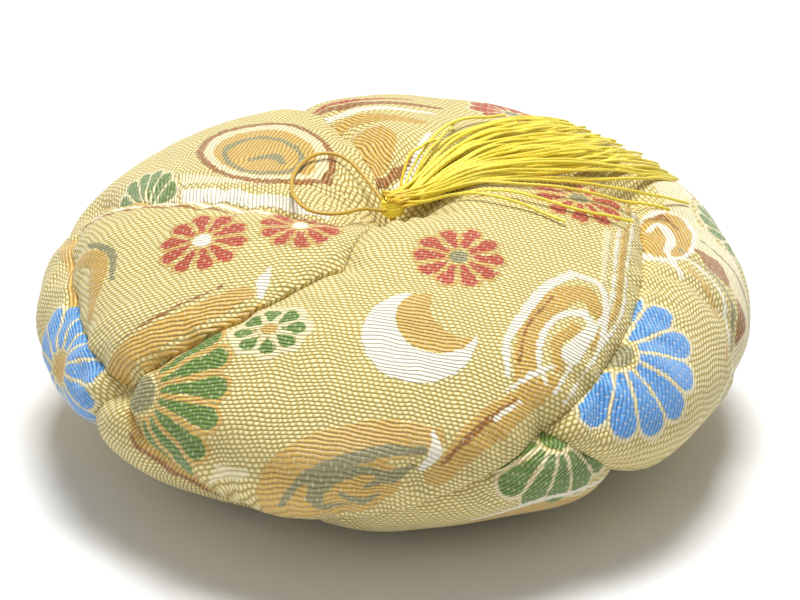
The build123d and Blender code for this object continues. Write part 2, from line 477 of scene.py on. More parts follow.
SIM_SCALE = 50.0  # the cloth is blown up at this many times its size
SIM_FRAMES = 28
SEWN_REACH = 1.3  # cloth this near a seam is held
HELD_BASE = 0.4  # cloth lower than this is held
HELD_DIMPLE = 4.5  # cloth this near the middle is held
MOST_RISE = 1.0  # mm that the cover can stand off the plain form


class BlownCloth:
    """The cover, cut 4 % too large, held along its seams and blown up against them."""

    def __init__(self):
        ball, triangles = ball_mesh(WADDING_EDGES)
        self.plain = form(ball)
        away = np.full(len(ball), 1e9)
        drawn = np.zeros(len(ball))
        for name, (_, first, last) in SEAMS.items():
            far, along, length = seam_distance(self.plain, name)
            away = np.minimum(away, far)
            depth = first + (last - first) * along / length
            drawn = np.maximum(drawn, depth * np.exp(-far / VALLEY_REACH))
        radius = np.hypot(self.plain[:, 0], self.plain[:, 1])
        held = (away < SEWN_REACH) | (self.plain[:, 2] < HELD_BASE) | (radius < HELD_DIMPLE)
        start = (self.plain - outward(ball) * drawn[:, None]) * SIM_SCALE
        piece = new_object("blown", start, triangles.tolist(), None)
        piece.vertex_groups.new(name="sewn").add(np.flatnonzero(held).tolist(), 1.0, "REPLACE")
        modifier = piece.modifiers.new("cloth", "CLOTH")
        cloth = modifier.settings
        cloth.quality = 6
        cloth.mass = 0.02
        cloth.tension_stiffness = cloth.compression_stiffness = 25
        cloth.shear_stiffness = 8
        cloth.bending_stiffness = 0.35
        cloth.air_damping = 2
        cloth.vertex_group_mass = "sewn"
        cloth.shrink_min = -0.04
        cloth.use_pressure = True
        cloth.uniform_pressure_force = 6
        cloth.effector_weights.gravity = 0
        modifier.collision_settings.use_collision = False
        for number in range(1, SIM_FRAMES + 1):
            bpy.context.scene.frame_set(number)
        settled = piece.evaluated_get(bpy.context.evaluated_depsgraph_get()).data
        moved = np.zeros(len(ball) * 3)
        settled.vertices.foreach_get("co", moved)
        offset = moved.reshape(-1, 3) / MM - start
        self.rise = (offset * outward(ball)).sum(axis=1) / SIM_SCALE
        mesh = piece.data
        bpy.data.objects.remove(piece)
        bpy.data.meshes.remove(mesh)
        bpy.context.scene.frame_set(1)
        self.tree = kdtree.KDTree(len(self.plain))
        for index, point in enumerate(self.plain):
            self.tree.insert(point, index)
        self.tree.balance()

    def rise_at(self, points):
        """How far the blown cloth stands off the plain form at each point, in mm."""
        found = np.zeros(len(points))
        for i, point in enumerate(points):
            near = self.tree.find_n(point, 8)
            weights = [math.exp(-((item[2] / 0.95) ** 2)) for item in near]
            found[i] = sum(w * self.rise[item[1]] for w, item in zip(weights, near)) / sum(weights)
        return np.clip(MOST_RISE * np.tanh(found / MOST_RISE), -0.5, MOST_RISE)


BLOWN = None

# ---------------------------------------------------------------- motifs
# Each shape gives, for laid-out points in mm, the distance inside its edge.

FAR = -9.0


def disc(p, x, y, radius):
    return radius - np.hypot(p[:, 0] - x, p[:, 1] - y)


def oval(p, x, y, width, height, turn=0.0):
    c, s = math.cos(math.radians(turn)), math.sin(math.radians(turn))
    dx, dy = p[:, 0] - x, p[:, 1] - y
    a, b = (c * dx + s * dy) / width, (-s * dx + c * dy) / height
    return (1 - np.hypot(a, b)) * min(width, height)


def both(a, b):
    return np.minimum(a, b)


def without(a, b):
    return np.minimum(a, -b)


def rim_of(a, width):
    """A line of this width along a shape's edge."""
    return width / 2 - np.abs(a)


def stroke(p, points, start, end=None, middle=None):
    """A smooth curved stroke through points, with half widths at its start, middle and end."""
    end = start if end is None else end
    middle = (start + end) / 2 if middle is None else middle
    knots = np.array(points, float)
    padded = np.vstack([2 * knots[0] - knots[1], knots, 2 * knots[-1] - knots[-2]])
    line = []
    for a, b, c, d in zip(padded, padded[1:], padded[2:], padded[3:]):
        t = np.linspace(0, 1, 9)[:-1, None]
        bend, twist = 2 * a - 5 * b + 4 * c - d, 3 * b - a - 3 * c + d
        line.append(0.5 * (2 * b + (c - a) * t + bend * t**2 + twist * t**3))
    line = np.vstack(line + [knots[-1:]])
    share = np.linspace(0, 1, len(line))
    widths = np.interp(share, [0, 0.5, 1], [start, middle, end])
    near = np.full(len(p), FAR)
    box = (p > line.min(0) - 4).all(1) & (p < line.max(0) + 4).all(1)
    q = p[box]
    best = np.full(len(q), FAR)
    for i in range(len(line) - 1):
        step = line[i + 1] - line[i]
        along = np.clip((q - line[i]) @ step / max(step @ step, 1e-9), 0, 1)
        far = np.linalg.norm(q - line[i] - along[:, None] * step, axis=1)
        best = np.maximum(best, widths[i] + along * (widths[i + 1] - widths[i]) - far)
    near[box] = best
    return near


def petals(p, radius, count, turn=0.0, inner=0.3, plump=0.86):
    """A ring of round-ended petals."""
    angle = np.arctan2(p[:, 1], p[:, 0]) - math.radians(turn)
    sector = 2 * math.pi / count
    fold = (angle / sector + 0.5) % 1 - 0.5
    rho = np.hypot(p[:, 0], p[:, 1])
    x, y = rho * np.cos(fold * sector), rho * np.sin(fold * sector)
    tip = radius * math.sin(sector / 2) * plump
    root = inner * radius * math.sin(sector / 2) * plump
    start, end = inner * radius, radius - tip
    on = np.clip(x, start, end)
    width = root + (tip - root) * (on - start) / (end - start)
    return width - np.hypot(x - on, y)


class Cloth:
    """Distances inside each colour of a panel's pattern, at each of its points."""

    COLOURS = ["pale", "gold", "brown", "grey", "green", "blue", "red", "white"]

    def __init__(self, points):
        self.points = points
        self.inside = {colour: np.full(len(points), FAR) for colour in self.COLOURS}

    def at(self, around, down, turn=0.0):
        return laid_out(self.points, (around, down), turn)

    def add(self, colour, shape):
        self.inside[colour] = np.maximum(self.inside[colour], shape)

    def stroke(self, colour, p, points, *widths):
        self.add(colour, stroke(p, points, *widths))

    def clear(self, shape, *colours):
        for colour in colours or self.COLOURS:
            self.inside[colour] = np.minimum(self.inside[colour], -shape)


def chrysanthemum(
    cloth, around, down, radius, count, colour,
    turn=0.0, squash=1.0, heart="grey", edge=0.5, line="pale", plump=0.8,
):
    """A flower with outlined petals and a round heart."""
    p = cloth.at(around, down, turn) * [1.0, 1.0 / squash]
    near = disc(p, 0, 0, radius * 1.12)
    if near.max() < 0:
        return
    ring = petals(p, radius, count, plump=plump)
    cloth.clear(near)
    cloth.add(colour, both(ring, near))
    edges = both(rim_of(ring + 0.1, edge), near)
    cloth.clear(edges, colour)
    cloth.add(line, edges)
    cloth.clear(disc(p, 0, 0, radius * 0.27), colour, line)
    cloth.add(heart, disc(p, 0, 0, radius * 0.2))
    cloth.add(line, rim_of(disc(p, 0, 0, radius * 0.26), 0.35))


def plain_crescent(c, p, radius, bite):
    """A white crescent on a gold disc."""
    c.add("gold", disc(p, 1, 1, 5.0))
    c.add("white", without(disc(p, 0, 0, radius), disc(p, 2.4, 2.2, bite)))


def front_pattern(c):
    """Crescent, hook, large scroll and flowers of the front panel."""
    p = c.at(264, 85)
    c.stroke("gold", p, [(-10, -7), (-8, -1), (-3, 2), (3, 4.4), (9, 4.6)], 2.2, 1.6, 3.4)
    c.add("gold", oval(p, -2.5, -2.5, 8.5, 4.8, 22))
    c.stroke("grey", p, [(-9, -5), (-6, -0.6), (-1, 2), (4, 3.4), (8, 3.4)], 0.3, 0.5, 0.9)
    c.stroke("grey", p,
        [(3.5, 0.6), (0.5, 1.0), (-3, -0.6), (-4.6, -3), (-3.4, -5), (-0.6, -4.6)], 0.4, 0.3, 1.1,
    )
    c.stroke("grey", p, [(1.5, -1.2), (4.5, 0.2), (7, 1.6)], 0.3, 0.3, 0.9)
    c.stroke("grey", p, [(-1.4, -2.6), (0.8, -3.6), (3.0, -3.0)], 0.5, 0.3, 0.8)
    c.stroke("white", p, [(8, 1.2), (9.6, 3.4), (9.2, 5.6)], 0.3, 0.3, 0.8)
    p = c.at(287, 69)
    c.stroke("gold", p, [(-8, -5.4), (-3, -1.6), (2, 1.2), (8, 4)], 1.3, 1.0, 2.2)
    c.stroke("brown", p, [(-7, -3.6), (-2, -0.2), (3, 2.4)], 0.3, 0.2, 0.5)
    c.stroke("white", p, [(0.2, 0.6), (3.6, 2.2)], 0.35, 0.15)
    c.stroke("white", p, [(2, 3.6), (6, 5.2), (9, 5.8)], 0.2, 0.2, 0.35)
    p = c.at(273, 46)
    moon, bite = disc(p, 1.5, 1.0, 6.7), disc(p, 3.9, 3.3, 5.0)
    c.add("gold", both(disc(p, 2.4, 2.0, 5.4), -disc(p, 7.4, 5.0, 4.4)))
    c.clear(without(moon, bite), "gold")
    c.add("white", without(moon, bite))
    p = c.at(302, 50)
    c.stroke("gold", p, [(-5.2, -4.0), (-1.6, 1.0), (3.6, 4.2), (8.2, 4.6), (8.4, 1.6)], 1.3, 1.0, 1.6)
    c.stroke("gold", p, [(-0.6, -4.4), (0.8, -1.2), (4.2, 0.0)], 0.7)
    c.stroke("brown", p, [(-5.0, -2.2), (-1.4, 2.0), (4.0, 5.0)], 0.12, 0.12, 0.22)
    c.stroke("white", p, [(-6.9, -3.0), (-4.9, 0.8), (-0.6, 3.9), (4.1, 6.7), (8.8, 7.8)], 0.4, 0.6, 0.62)
    c.stroke("white", p, [(8.8, 7.8), (11.2, 5.4), (10.0, 1.8), (7.0, -2.2), (4.6, -4.6)], 0.5, 0.25, 0.5)
    c.stroke("white", p, [(-2.8, -5.4), (-2.6, -2.8), (-0.2, 0.3), (3.2, 2.1), (6.6, 1.6)], 0.3, 0.45, 0.42)
    c.stroke("white", p, [(6.6, 1.6), (6.2, -0.6), (3.6, -2.2), (1.8, -3.2)], 0.45, 1.3, 0.8)
    p = c.at(345, 42)
    for raised, width in ((0.0, 0.2), (1.8, 0.24)):
        line = [(11, 1.0), (-3.9, -1.2), (-13, -3.2), (-20.8, -2.5), (-29, -1.8)]
        c.stroke("white", p - [0, raised], line, width)
    c.stroke("gold", p - [0, 0.9], [(11, 1.0), (-3.9, -1.2), (-13, -3.2), (-20.8, -2.5)], 0.4)
    c.stroke("pale", p - [0, 3.2], [(9, 1.0), (-3.9, -1.2), (-10, -2.6)], 0.5, 0.3)
    p = c.at(236, 66)
    c.stroke("pale", p, [(-2, -12), (3, -10), (9, -7)], 0.8, 0.5, 1.4)
    chrysanthemum(c, 294, 26, 5.5, 10, "red", turn=10, edge=0.42, line="gold", plump=0.66)
    chrysanthemum(c, 357, 31, 5.9, 10, "red", turn=4, edge=0.42, line="gold", plump=0.66)
    chrysanthemum(c, 224, 74, 12.8, 18, "green", turn=6, heart="grey", edge=0.6, line="gold", plump=0.72)
    chrysanthemum(c, 243, 46, 4.7, 8, "green", turn=20, squash=0.85, heart="gold", edge=0.95)


def left_pattern(c):
    """Two red flowers and the ribbed bands of the upper left panel."""
    p = c.at(224, 54)
    c.stroke("gold", p, [(3.2, 8.6), (0.3, 2.2), (-4.5, -6), (-7, -11)], 1.2, 1.5, 1.6)
    c.stroke("brown", p, [(0.9, 9.4), (-1.7, 3.2), (-6.4, -5.2)], 0.14, 0.14, 0.24)
    c.stroke("gold", p, [(6.0, 9.0), (2.9, 1.9), (-1.6, -5.6)], 0.3, 0.3, 0.55)
    c.stroke("white", p, [(3.0, 13.4), (3.8, 11.2), (5.2, 9.6)], 0.3, 0.3, 0.8)
    p = c.at(185, 32)
    c.stroke("white", p, [(-10, -16), (-4.5, -5), (3.5, 6.2), (7, 13)], 0.35, 0.2, 0.5)
    c.stroke("brown", p, [(-8.6, -16), (-3.2, -6), (4.4, 4.6)], 0.3, 0.2, 0.4)
    c.stroke("gold", p, [(-11, -13), (-6.4, -4.4), (1, 6)], 0.5, 0.3, 0.9)
    p = c.at(195, 58)
    c.stroke("gold", p, [(-7, -2), (-2.6, 1.2), (2.2, -0.6), (5.6, -3)], 0.9, 0.6, 1.5)
    c.stroke("grey", p, [(-7, 1), (-2, 3.2), (3, 2.0)], 0.3, 0.3, 0.6)
    chrysanthemum(c, 206, 35, 5.6, 10, "red", turn=12, heart="white", edge=0.42, line="gold", plump=0.66)
    chrysanthemum(c, 223, 20, 5.0, 10, "red", turn=30, heart="white", edge=0.42, line="gold", plump=0.66)


def back_left_pattern(c):
    """Oval scroll on the crown, a large blue flower low on the left, and scrolls behind."""
    p = c.at(185, 32)
    c.stroke("white", p, [(-11.5, -12), (-8.2, -6.5), (1.2, 7.7), (6, 15)], 0.5, 0.3, 1.1)
    c.stroke("pale", p, [(-14, -9), (-10.4, -4.5), (-1.8, 8)], 0.7, 0.3, 1.2)
    p = c.at(150, 23)
    loop = oval(p, -1.0, -1.6, 11.0, 7.0, 62)
    c.add("pale", loop)
    c.add("gold", oval(p, -0.6, -1.4, 8.8, 5.4, 62))
    c.add("brown", rim_of(loop, 0.8))
    c.add("grey", rim_of(oval(p, 0.4, -1.0, 6.6, 4.0, 62), 0.7))
    c.add("pale", oval(p, 1.0, -0.6, 4.6, 2.4, 62))
    c.stroke("grey", p, [(2.0, 3.0), (0.4, 0.4), (1.6, -2.6)], 0.4, 0.4, 0.8)
    chrysanthemum(c, 172, 46, 8.2, 14, "green", turn=5, squash=0.6, heart="gold", edge=0.6)
    chrysanthemum(c, 202, 88, 9.6, 14, "blue", turn=0, heart="gold", edge=0.5)
    p = c.at(186, 74)
    c.stroke("gold", p, [(-8, 3), (-1, 5), (7, 2)], 1.4, 1.0, 2.4)
    c.stroke("white", p, [(-8, 6), (0, 7.6), (8, 5)], 0.25, 0.25, 0.4)
    p = c.at(140, 72)
    c.stroke("gold", p, [(-13, -4), (-6, 2), (2, 3), (10, -2), (14, -9)], 1.4, 1.4, 2.8)
    c.stroke("brown", p, [(-12, -6.5), (-5, -1), (2, 0.4), (9, -4.4)], 0.4, 0.3, 0.7)
    c.stroke("white", p, [(-13, -1), (-6, 5), (3, 6), (12, 1)], 0.3, 0.3, 0.6)
    chrysanthemum(c, 128, 103, 6.2, 10, "red", turn=8)
    p = c.at(172, 112)
    plain_crescent(c, p, 6.0, 4.8)


def right_pattern(c):
    """Large blue flower, teardrop and scrolls on the right, and more of the same behind."""
    p = c.at(354, 49)
    drop = oval(p, 2.0, -0.6, 6.4, 3.6, -8)
    c.add("gold", drop)
    c.add("white", rim_of(drop, 0.6))
    c.stroke("white", p, [(-6.5, -3.2), (-2.4, -1.0), (1.8, -1.4), (3.6, 0.6), (1.8, 1.8)], 0.35, 0.3, 0.6)
    c.stroke("brown", p, [(4, -1.8), (6.4, 0), (5, 1.6)], 0.3, 0.3, 0.6)
    p = c.at(10, 61)
    c.stroke("pale", p, [(9, 4), (2, 2), (-6, -1), (-12, -6)], 2.4, 2.0, 3.2)
    c.stroke("white", p, [(9, 1), (1, -1.4), (-8, -5)], 0.3, 0.3, 0.5)
    p = c.at(337, 78)
    c.stroke("pale", p,
        [(14, 10), (12.2, 3), (10.4, -2), (5.4, -7.4), (-4, -10.4), (-11, -10)], 1.0, 1.0, 2.2,
    )
    c.stroke("brown", p, [(12.8, 9.6), (11.8, 6.4), (10.8, 3.4)], 0.3, 0.3, 1.5)
    c.stroke("brown", p, [(10.4, 1.6), (9.4, -1.0), (7.8, -3.2)], 0.3, 0.3, 1.3)
    c.stroke("grey", p,
        [(10.4, 11), (9.2, 4.6), (7.6, 0), (4.2, -4.6), (-1.6, -7.4), (-8, -8.4)], 0.22, 0.22, 0.4,
    )
    c.stroke("grey", p, [(15.4, 9), (14.2, 2), (12.0, -3.4), (6.4, -9.2), (-3, -12.4)], 0.22, 0.22, 0.4)
    c.stroke("white", p, [(9.0, 10.4), (7.8, 4.6), (6.2, 0.6), (3.0, -3.4), (-2.4, -6)], 0.25, 0.2, 0.35)
    c.stroke("gold", p, [(6.8, 9), (5.6, 4.4), (4.2, 1.4), (0.6, -2.0)], 0.35, 0.3, 0.5)
    chrysanthemum(c, 12, 77, 6.4, 12, "green", turn=5, heart="gold", edge=0.6)
    p = c.at(112, 14)
    c.add("gold", oval(p, 0, 0, 6.0, 4.0, 40))
    c.stroke("brown", p, [(-7, 3), (-1, 5), (6, 3)], 0.4, 0.3, 0.8)
    c.stroke("white", p, [(-9, 0), (-3, 6.6), (5, 7)], 0.4, 0.3, 0.8)
    p = c.at(98, 34)
    c.stroke("brown", p, [(9, -6), (1, -1), (-9, 2)], 0.7, 0.5, 1.2)
    c.stroke("white", p, [(10, -2.6), (2, 1.6), (-8, 5)], 0.6, 0.4, 0.9)
    c.stroke("gold", p, [(10, 1), (2, 5), (-6, 9)], 0.9, 0.6, 1.6)
    c.stroke("red", p, [(8, -7.6), (2, -4.4), (-6, -2.6)], 0.4, 0.4, 0.9)
    chrysanthemum(c, 60, 44, 6.0, 10, "red", turn=8)
    chrysanthemum(c, 315, 59, 11.2, 14, "blue", turn=9, heart="grey", edge=0.5)
    p = c.at(48, 84)
    c.stroke("gold", p, [(-15, -5), (-7, 2), (2, 2), (10, -3), (16, -2)], 1.4, 1.4, 3.0)
    c.stroke("grey", p, [(-13, -6), (-6, -0.6), (2, -0.4), (9, -5)], 0.4, 0.3, 0.8)
    c.stroke("white", p, [(-15, -1.6), (-7, 5), (3, 5.4), (11, 0)], 0.3, 0.3, 0.6)
    chrysanthemum(c, 78, 108, 7.6, 14, "blue", turn=3, heart="gold", edge=0.6)
    chrysanthemum(c, 95, 72, 5.0, 10, "red", turn=15)
    p = c.at(22, 112)
    plain_crescent(c, p, 6.2, 5.0)


def lower_left_pattern(c):
    """Ribbed gold with one scroll."""
    p = c.at(234, 112)
    c.stroke("gold", p, [(-9, 9), (-2, 4), (4, -1), (7, -6)], 1.6, 1.2, 2.4)
    c.stroke("brown", p, [(-8, 6), (-2.6, 2), (2, -3)], 0.3, 0.3, 0.5)
    c.stroke("pale", p, [(-3, 9), (3, 4), (8, 0)], 0.8, 0.6, 1.2)


def lower_right_pattern(c):
    """Green petals that run out from under the front right corner."""
    chrysanthemum(c, 298, 77, 10.4, 14, "green", turn=8, heart="green", edge=0.55)
    p = c.at(296, 118)
    c.stroke("gold", p, [(-10, -2), (-2, 2), (8, 0)], 1.2, 1.0, 2.2)
    c.stroke("white", p, [(-9, 1.4), (-1, 5), (9, 3)], 0.3, 0.3, 0.5)


PATTERNS = {
    "front_panel": front_pattern,
    "left_panel": left_pattern,
    "back_left_panel": back_left_pattern,
    "right_panel": right_pattern,
    "lower_left_panel": lower_left_pattern,
    "lower_right_panel": lower_right_pattern,
}

# ---------------------------------------------------------------- materials


def srgb(red, green, blue):
    """A colour as the eye reads it, 0 to 255, in linear light."""
    linear = []
    for value in (red, green, blue):
        share = value / 255
        linear.append(share / 12.92 if share <= 0.04045 else ((share + 0.055) / 1.055) ** 2.4)
    return (*linear, 1.0)


class Tree:
    """Short ways to add nodes to a material."""

    def __init__(self, name):
        self.material = bpy.data.materials.new(name)
        self.material.use_nodes = True
        self.nodes = self.material.node_tree.nodes
        self.links = self.material.node_tree.links
        self.shader = self.nodes["Principled BSDF"]

    def put(self, socket, value):
        if isinstance(value, bpy.types.NodeSocket):
            self.links.new(value, socket)
        elif value is not None:
            socket.default_value = value

    def add(self, kind, inputs=None, output=0, **settings):
        node = self.nodes.new(kind)
        for key, value in settings.items():
            setattr(node, key, value)
        for key, value in (inputs or {}).items():
            self.put(node.inputs[key], value)
        return node.outputs[output]

    def math(self, operation, a, b=None, c=None, clamp=False):
        values = {i: v for i, v in enumerate((a, b, c)) if v is not None}
        return self.add("ShaderNodeMath", values, operation=operation, use_clamp=clamp)

    def mix(self, share, a, b, blend="MIX"):
        node = self.nodes.new("ShaderNodeMix")
        node.data_type = "RGBA"
        node.blend_type = blend
        self.put(node.inputs[0], share)
        self.put(node.inputs[6], a)
        self.put(node.inputs[7], b)
        return node.outputs[2]

    def attribute(self, name):
        return self.add("ShaderNodeAttribute", output="Fac", attribute_name=name)

    def noise(self, vector, scale, detail=2.0, output=0):
        return self.add("ShaderNodeTexNoise", {"Vector": vector, "Scale": scale, "Detail": detail}, output)

    def bump(self, height, distance, strength, normal=None):
        inputs = {"Height": height, "Distance": distance, "Strength": strength, "Normal": normal}
        return self.add("ShaderNodeBump", inputs)

    def wave(self, value):
        """0 at each whole number and 1 half way between."""
        return self.math("ABSOLUTE", self.math("SINE", self.math("MULTIPLY", value, math.pi)))

    def step(self, value, soft):
        """0 to 1 as value passes 0, over twice soft."""
        return self.math("MULTIPLY_ADD", value, 0.5 / soft, 0.5, clamp=True)


STRAND_STEP = 8.0  # from one strand to the next in a thread's map named cloth
PITCH = 0.5  # mm between weft threads
FLOAT = 1.5  # mm between the places where a float is tied down

# Each ink is a lit colour and a darker one. The weave mixes in the darker one as painted shade in the
# grooves between floats, and as random tone.
INKS = {
    "pale": (srgb(248, 238, 196), srgb(224, 206, 146)),
    "gold": (srgb(230, 192, 100), srgb(182, 138, 56)),
    "brown": (srgb(180, 122, 54), srgb(134, 86, 36)),
    "grey": (srgb(168, 160, 112), srgb(122, 118, 78)),
    "green": (srgb(120, 154, 66), srgb(72, 102, 38)),
    "blue": (srgb(112, 182, 242), srgb(58, 120, 204)),
    "red": (srgb(208, 88, 50), srgb(156, 58, 38)),
    "white": (srgb(255, 251, 236), srgb(238, 228, 192)),
}


def brocade():
    """Figured gold brocade: twill ground, weft floats in each colour of the pattern."""
    t = Tree("brocade")
    uv = t.add("ShaderNodeUVMap", output="UV", uv_map="cloth")
    split = t.nodes.new("ShaderNodeSeparateXYZ")
    wobble = t.noise(uv, 0.22, 1.0, output="Color")
    wobble = t.add("ShaderNodeVectorMath", {0: wobble, 1: (0.5, 0.5, 0.5)}, operation="SUBTRACT")
    wobble = t.add("ShaderNodeVectorMath", {0: wobble, "Scale": 1.4}, operation="SCALE")
    place = t.add("ShaderNodeVectorMath", {0: uv, 1: wobble}, operation="ADD")
    t.put(split.inputs[0], place)
    across, up = split.outputs[0], split.outputs[1]

    row = t.math("DIVIDE", up, PITCH)
    row_number = t.math("FLOOR", row)
    in_row = t.math("FRACT", row)
    thread = t.math("SINE", t.math("MULTIPLY", in_row, math.pi))

    # floats: long threads, tied down in a slanting order
    tie = t.math("MULTIPLY_ADD", row_number, 0.38, t.math("DIVIDE", across, FLOAT))
    tie_cell = t.math("FLOOR", tie)
    tie_wave = t.wave(tie)
    tied = t.math("MULTIPLY_ADD", t.math("POWER", tie_wave, 0.35), 0.45, 0.55)
    float_height = t.math("MULTIPLY", t.math("POWER", thread, 0.7), tied)

    # ground: short floats over every third warp
    short = t.math("MULTIPLY_ADD", row_number, 0.36, t.math("DIVIDE", across, PITCH * 1.5))
    crossed = t.math("MULTIPLY_ADD", t.wave(short), 0.7, 0.3)
    ground_height = t.math("MULTIPLY", t.math("POWER", thread, 0.6), crossed)

    cell = t.add("ShaderNodeCombineXYZ", {0: row_number, 1: tie_cell, 2: 0.0})
    chance = t.add("ShaderNodeTexWhiteNoise", {"Vector": cell}, output="Value")
    jitter = t.math("MULTIPLY_ADD", chance, 0.26, -0.13)
    broad = t.noise(uv, 0.09, 3.0)
    fine = t.noise(uv, 1.1, 2.0)

    # The ground's colour follows thread height: painted shade in the low places between threads, then gold,
    # then cream on the raised floats.
    cream, gold, shade = srgb(252, 246, 196), srgb(218, 196, 114), srgb(144, 120, 54)
    lift = t.math("POWER", ground_height, 1.3)
    colour = t.mix(t.math("MULTIPLY", lift, 2.0, clamp=True), shade, gold)
    colour = t.mix(t.math("MULTIPLY_ADD", lift, 2.0, -0.9, clamp=True), colour, cream)
    colour = t.mix(t.math("MULTIPLY", broad, 0.35), colour, gold)
    spot = t.math("MULTIPLY_ADD", tie_wave, -2.6, 1.0, clamp=True)
    spot = t.math("MULTIPLY", spot, t.math("MULTIPLY_ADD", chance, 0.4, 0.15))
    # Painted shade in the grooves between floats, with random tone from the fine noise on top.
    groove_shade = t.math("MULTIPLY", t.math("SUBTRACT", 1.0, float_height), 0.75)
    shade_and_tone_share = t.math("MULTIPLY_ADD", fine, 0.35, groove_shade, clamp=True)
    figured = None
    for name in Cloth.COLOURS:
        inside = t.step(t.math("ADD", t.attribute(name), jitter), 0.09)
        light, dark = INKS[name]
        ink = t.mix(shade_and_tone_share, light, dark)
        if name in ("red", "green", "blue", "brown", "grey", "gold"):
            ink = t.mix(spot, ink, cream)
        colour = t.mix(inside, colour, ink)
        figured = inside if figured is None else t.math("MAXIMUM", figured, inside)
    low, high = t.math("MULTIPLY", ground_height, 0.8), t.math("ADD", float_height, 0.15)
    height = t.add("ShaderNodeMix", {"Factor": figured, "A": low, "B": high}, data_type="FLOAT")
    t.put(t.shader.inputs["Base Color"], colour)
    rough = t.math("MULTIPLY_ADD", figured, -0.1, t.math("MULTIPLY_ADD", fine, 0.16, 0.46))
    t.put(t.shader.inputs["Roughness"], rough)
    t.put(t.shader.inputs["Specular IOR Level"], 0.5)
    t.put(t.shader.inputs["Sheen Weight"], 0.25)
    t.put(t.shader.inputs["Sheen Roughness"], 0.4)
    t.put(t.shader.inputs["Normal"], t.bump(height, 0.00035, 0.75))
    return t.material


def silk(name, light, dark, pitch, rough=0.38, root=0.0):
    """Twisted thread: a slanting twist along each strand, painted shade in the grooves between plies, and
    painted shade darkening it towards the root.
    """
    t = Tree(name)
    uv = t.add("ShaderNodeUVMap", output="UV", uv_map="cloth")
    split = t.nodes.new("ShaderNodeSeparateXYZ")
    t.put(split.inputs[0], uv)
    along, round_it = split.outputs[0], split.outputs[1]
    twist = t.math("ADD", t.math("DIVIDE", along, pitch), t.math("MULTIPLY", round_it, 2.0))
    ply = t.wave(twist)
    fuzz = t.noise(uv, 3.0, 3.0)
    strand = t.math("FLOOR", t.math("DIVIDE", round_it, STRAND_STEP))
    chance = t.add("ShaderNodeTexWhiteNoise", {"W": strand}, output="Value", noise_dimensions="1D")
    # The dark colour is painted shade in the grooves between plies, with random tone from strand to strand.
    groove_shade = t.math("SUBTRACT", 1.0, ply)
    share = t.math("MULTIPLY_ADD", groove_shade, 0.3, t.math("MULTIPLY", chance, 0.22), clamp=True)
    # Painted shade near the root, where the strands bunch under the binding; root sets how strong it is.
    root_shade = t.math("MULTIPLY_ADD", along, -0.2, 1.0, clamp=True)
    share = t.math("MULTIPLY_ADD", root_shade, root, share, clamp=True)
    t.put(t.shader.inputs["Base Color"], t.mix(share, light, dark))
    t.put(t.shader.inputs["Roughness"], t.math("MULTIPLY_ADD", fuzz, 0.15, rough))
    t.put(t.shader.inputs["Sheen Weight"], 0.3)
    t.put(t.shader.inputs["Sheen Roughness"], 0.35)
    t.put(t.shader.inputs["Normal"], t.bump(ply, 0.0001, 0.6))
    return t.material


def cotton():
    """Matted wadding fibre."""
    t = Tree("wadding")
    place = t.add("ShaderNodeTexCoord", output="Object")
    tufts = t.noise(place, 700.0, 6.0)
    clumps = t.noise(place, 90.0, 3.0)
    share = t.math("MULTIPLY_ADD", tufts, 0.6, t.math("MULTIPLY", clumps, 0.3), clamp=True)
    t.put(t.shader.inputs["Base Color"], t.mix(share, srgb(246, 243, 232), srgb(206, 198, 178)))
    t.put(t.shader.inputs["Roughness"], 0.95)
    t.put(t.shader.inputs["Sheen Weight"], 0.4)
    t.put(t.shader.inputs["Normal"], t.bump(tufts, 0.0006, 0.8))
    return t.material


def backdrop():
    """Plain pale studio floor."""
    t = Tree("floor")
    place = t.add("ShaderNodeTexCoord", output="Object")
    grain = t.noise(place, 60.0, 4.0)
    t.put(t.shader.inputs["Base Color"], t.mix(grain, (0.82, 0.82, 0.82, 1), (0.86, 0.86, 0.86, 1)))
    t.put(t.shader.inputs["Roughness"], 0.9)
    return t.material


# ---------------------------------------------------------------- cloth panels


def make_panel(name, points, triangles, material):
    """One sewn-in panel of brocade, with its edges turned in at the seams."""
    panel = PANELS[name]
    ball, faces, rim = panel_ball(points, triangles, panel)
    plain = form(ball)
    cloth = drape(ball, panel["over"])
    pattern = Cloth(plain)
    PATTERNS[name](pattern)
    layout = laid_out(plain, panel["middle"], panel["turn"])

    edge = sorted({i for pair in rim for i in pair})
    new_index = {i: len(cloth) + k for k, i in enumerate(edge)}
    turned_in = cloth[edge] - outward(ball[edge]) * HEM
    turned_in[:, 2] = np.maximum(turned_in[:, 2], HEM_LOWEST)
    hem = [(b, a, new_index[a], new_index[b]) for a, b in rim]
    piece = new_object(name, np.vstack([cloth, turned_in]), faces + hem, material)
    set_uv(piece.data, np.vstack([layout, layout[edge] + 0.4]))
    for colour, inside in pattern.inside.items():
        values = np.concatenate([inside, inside[edge]])
        set_attribute(piece.data, colour, np.clip(values, -3, 3))
    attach(piece, "root")
    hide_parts(name)
    return piece


def make_stuffing(material):
    """Packed wadding inside the cloth."""
    ball, triangles = ball_mesh(WADDING_EDGES)
    points = form(ball)
    inward = WADDING_INSET + 0.25 * lumps(points, 21, 6)
    points = points - outward(ball) * inward[:, None]
    points[:, 2] = np.maximum(points[:, 2], WADDING_LOWEST)
    piece = new_object("stuffing", points, triangles.tolist(), material)
    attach(piece, "root")
    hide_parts("stuffing")
    return piece


# ---------------------------------------------------------------- threads


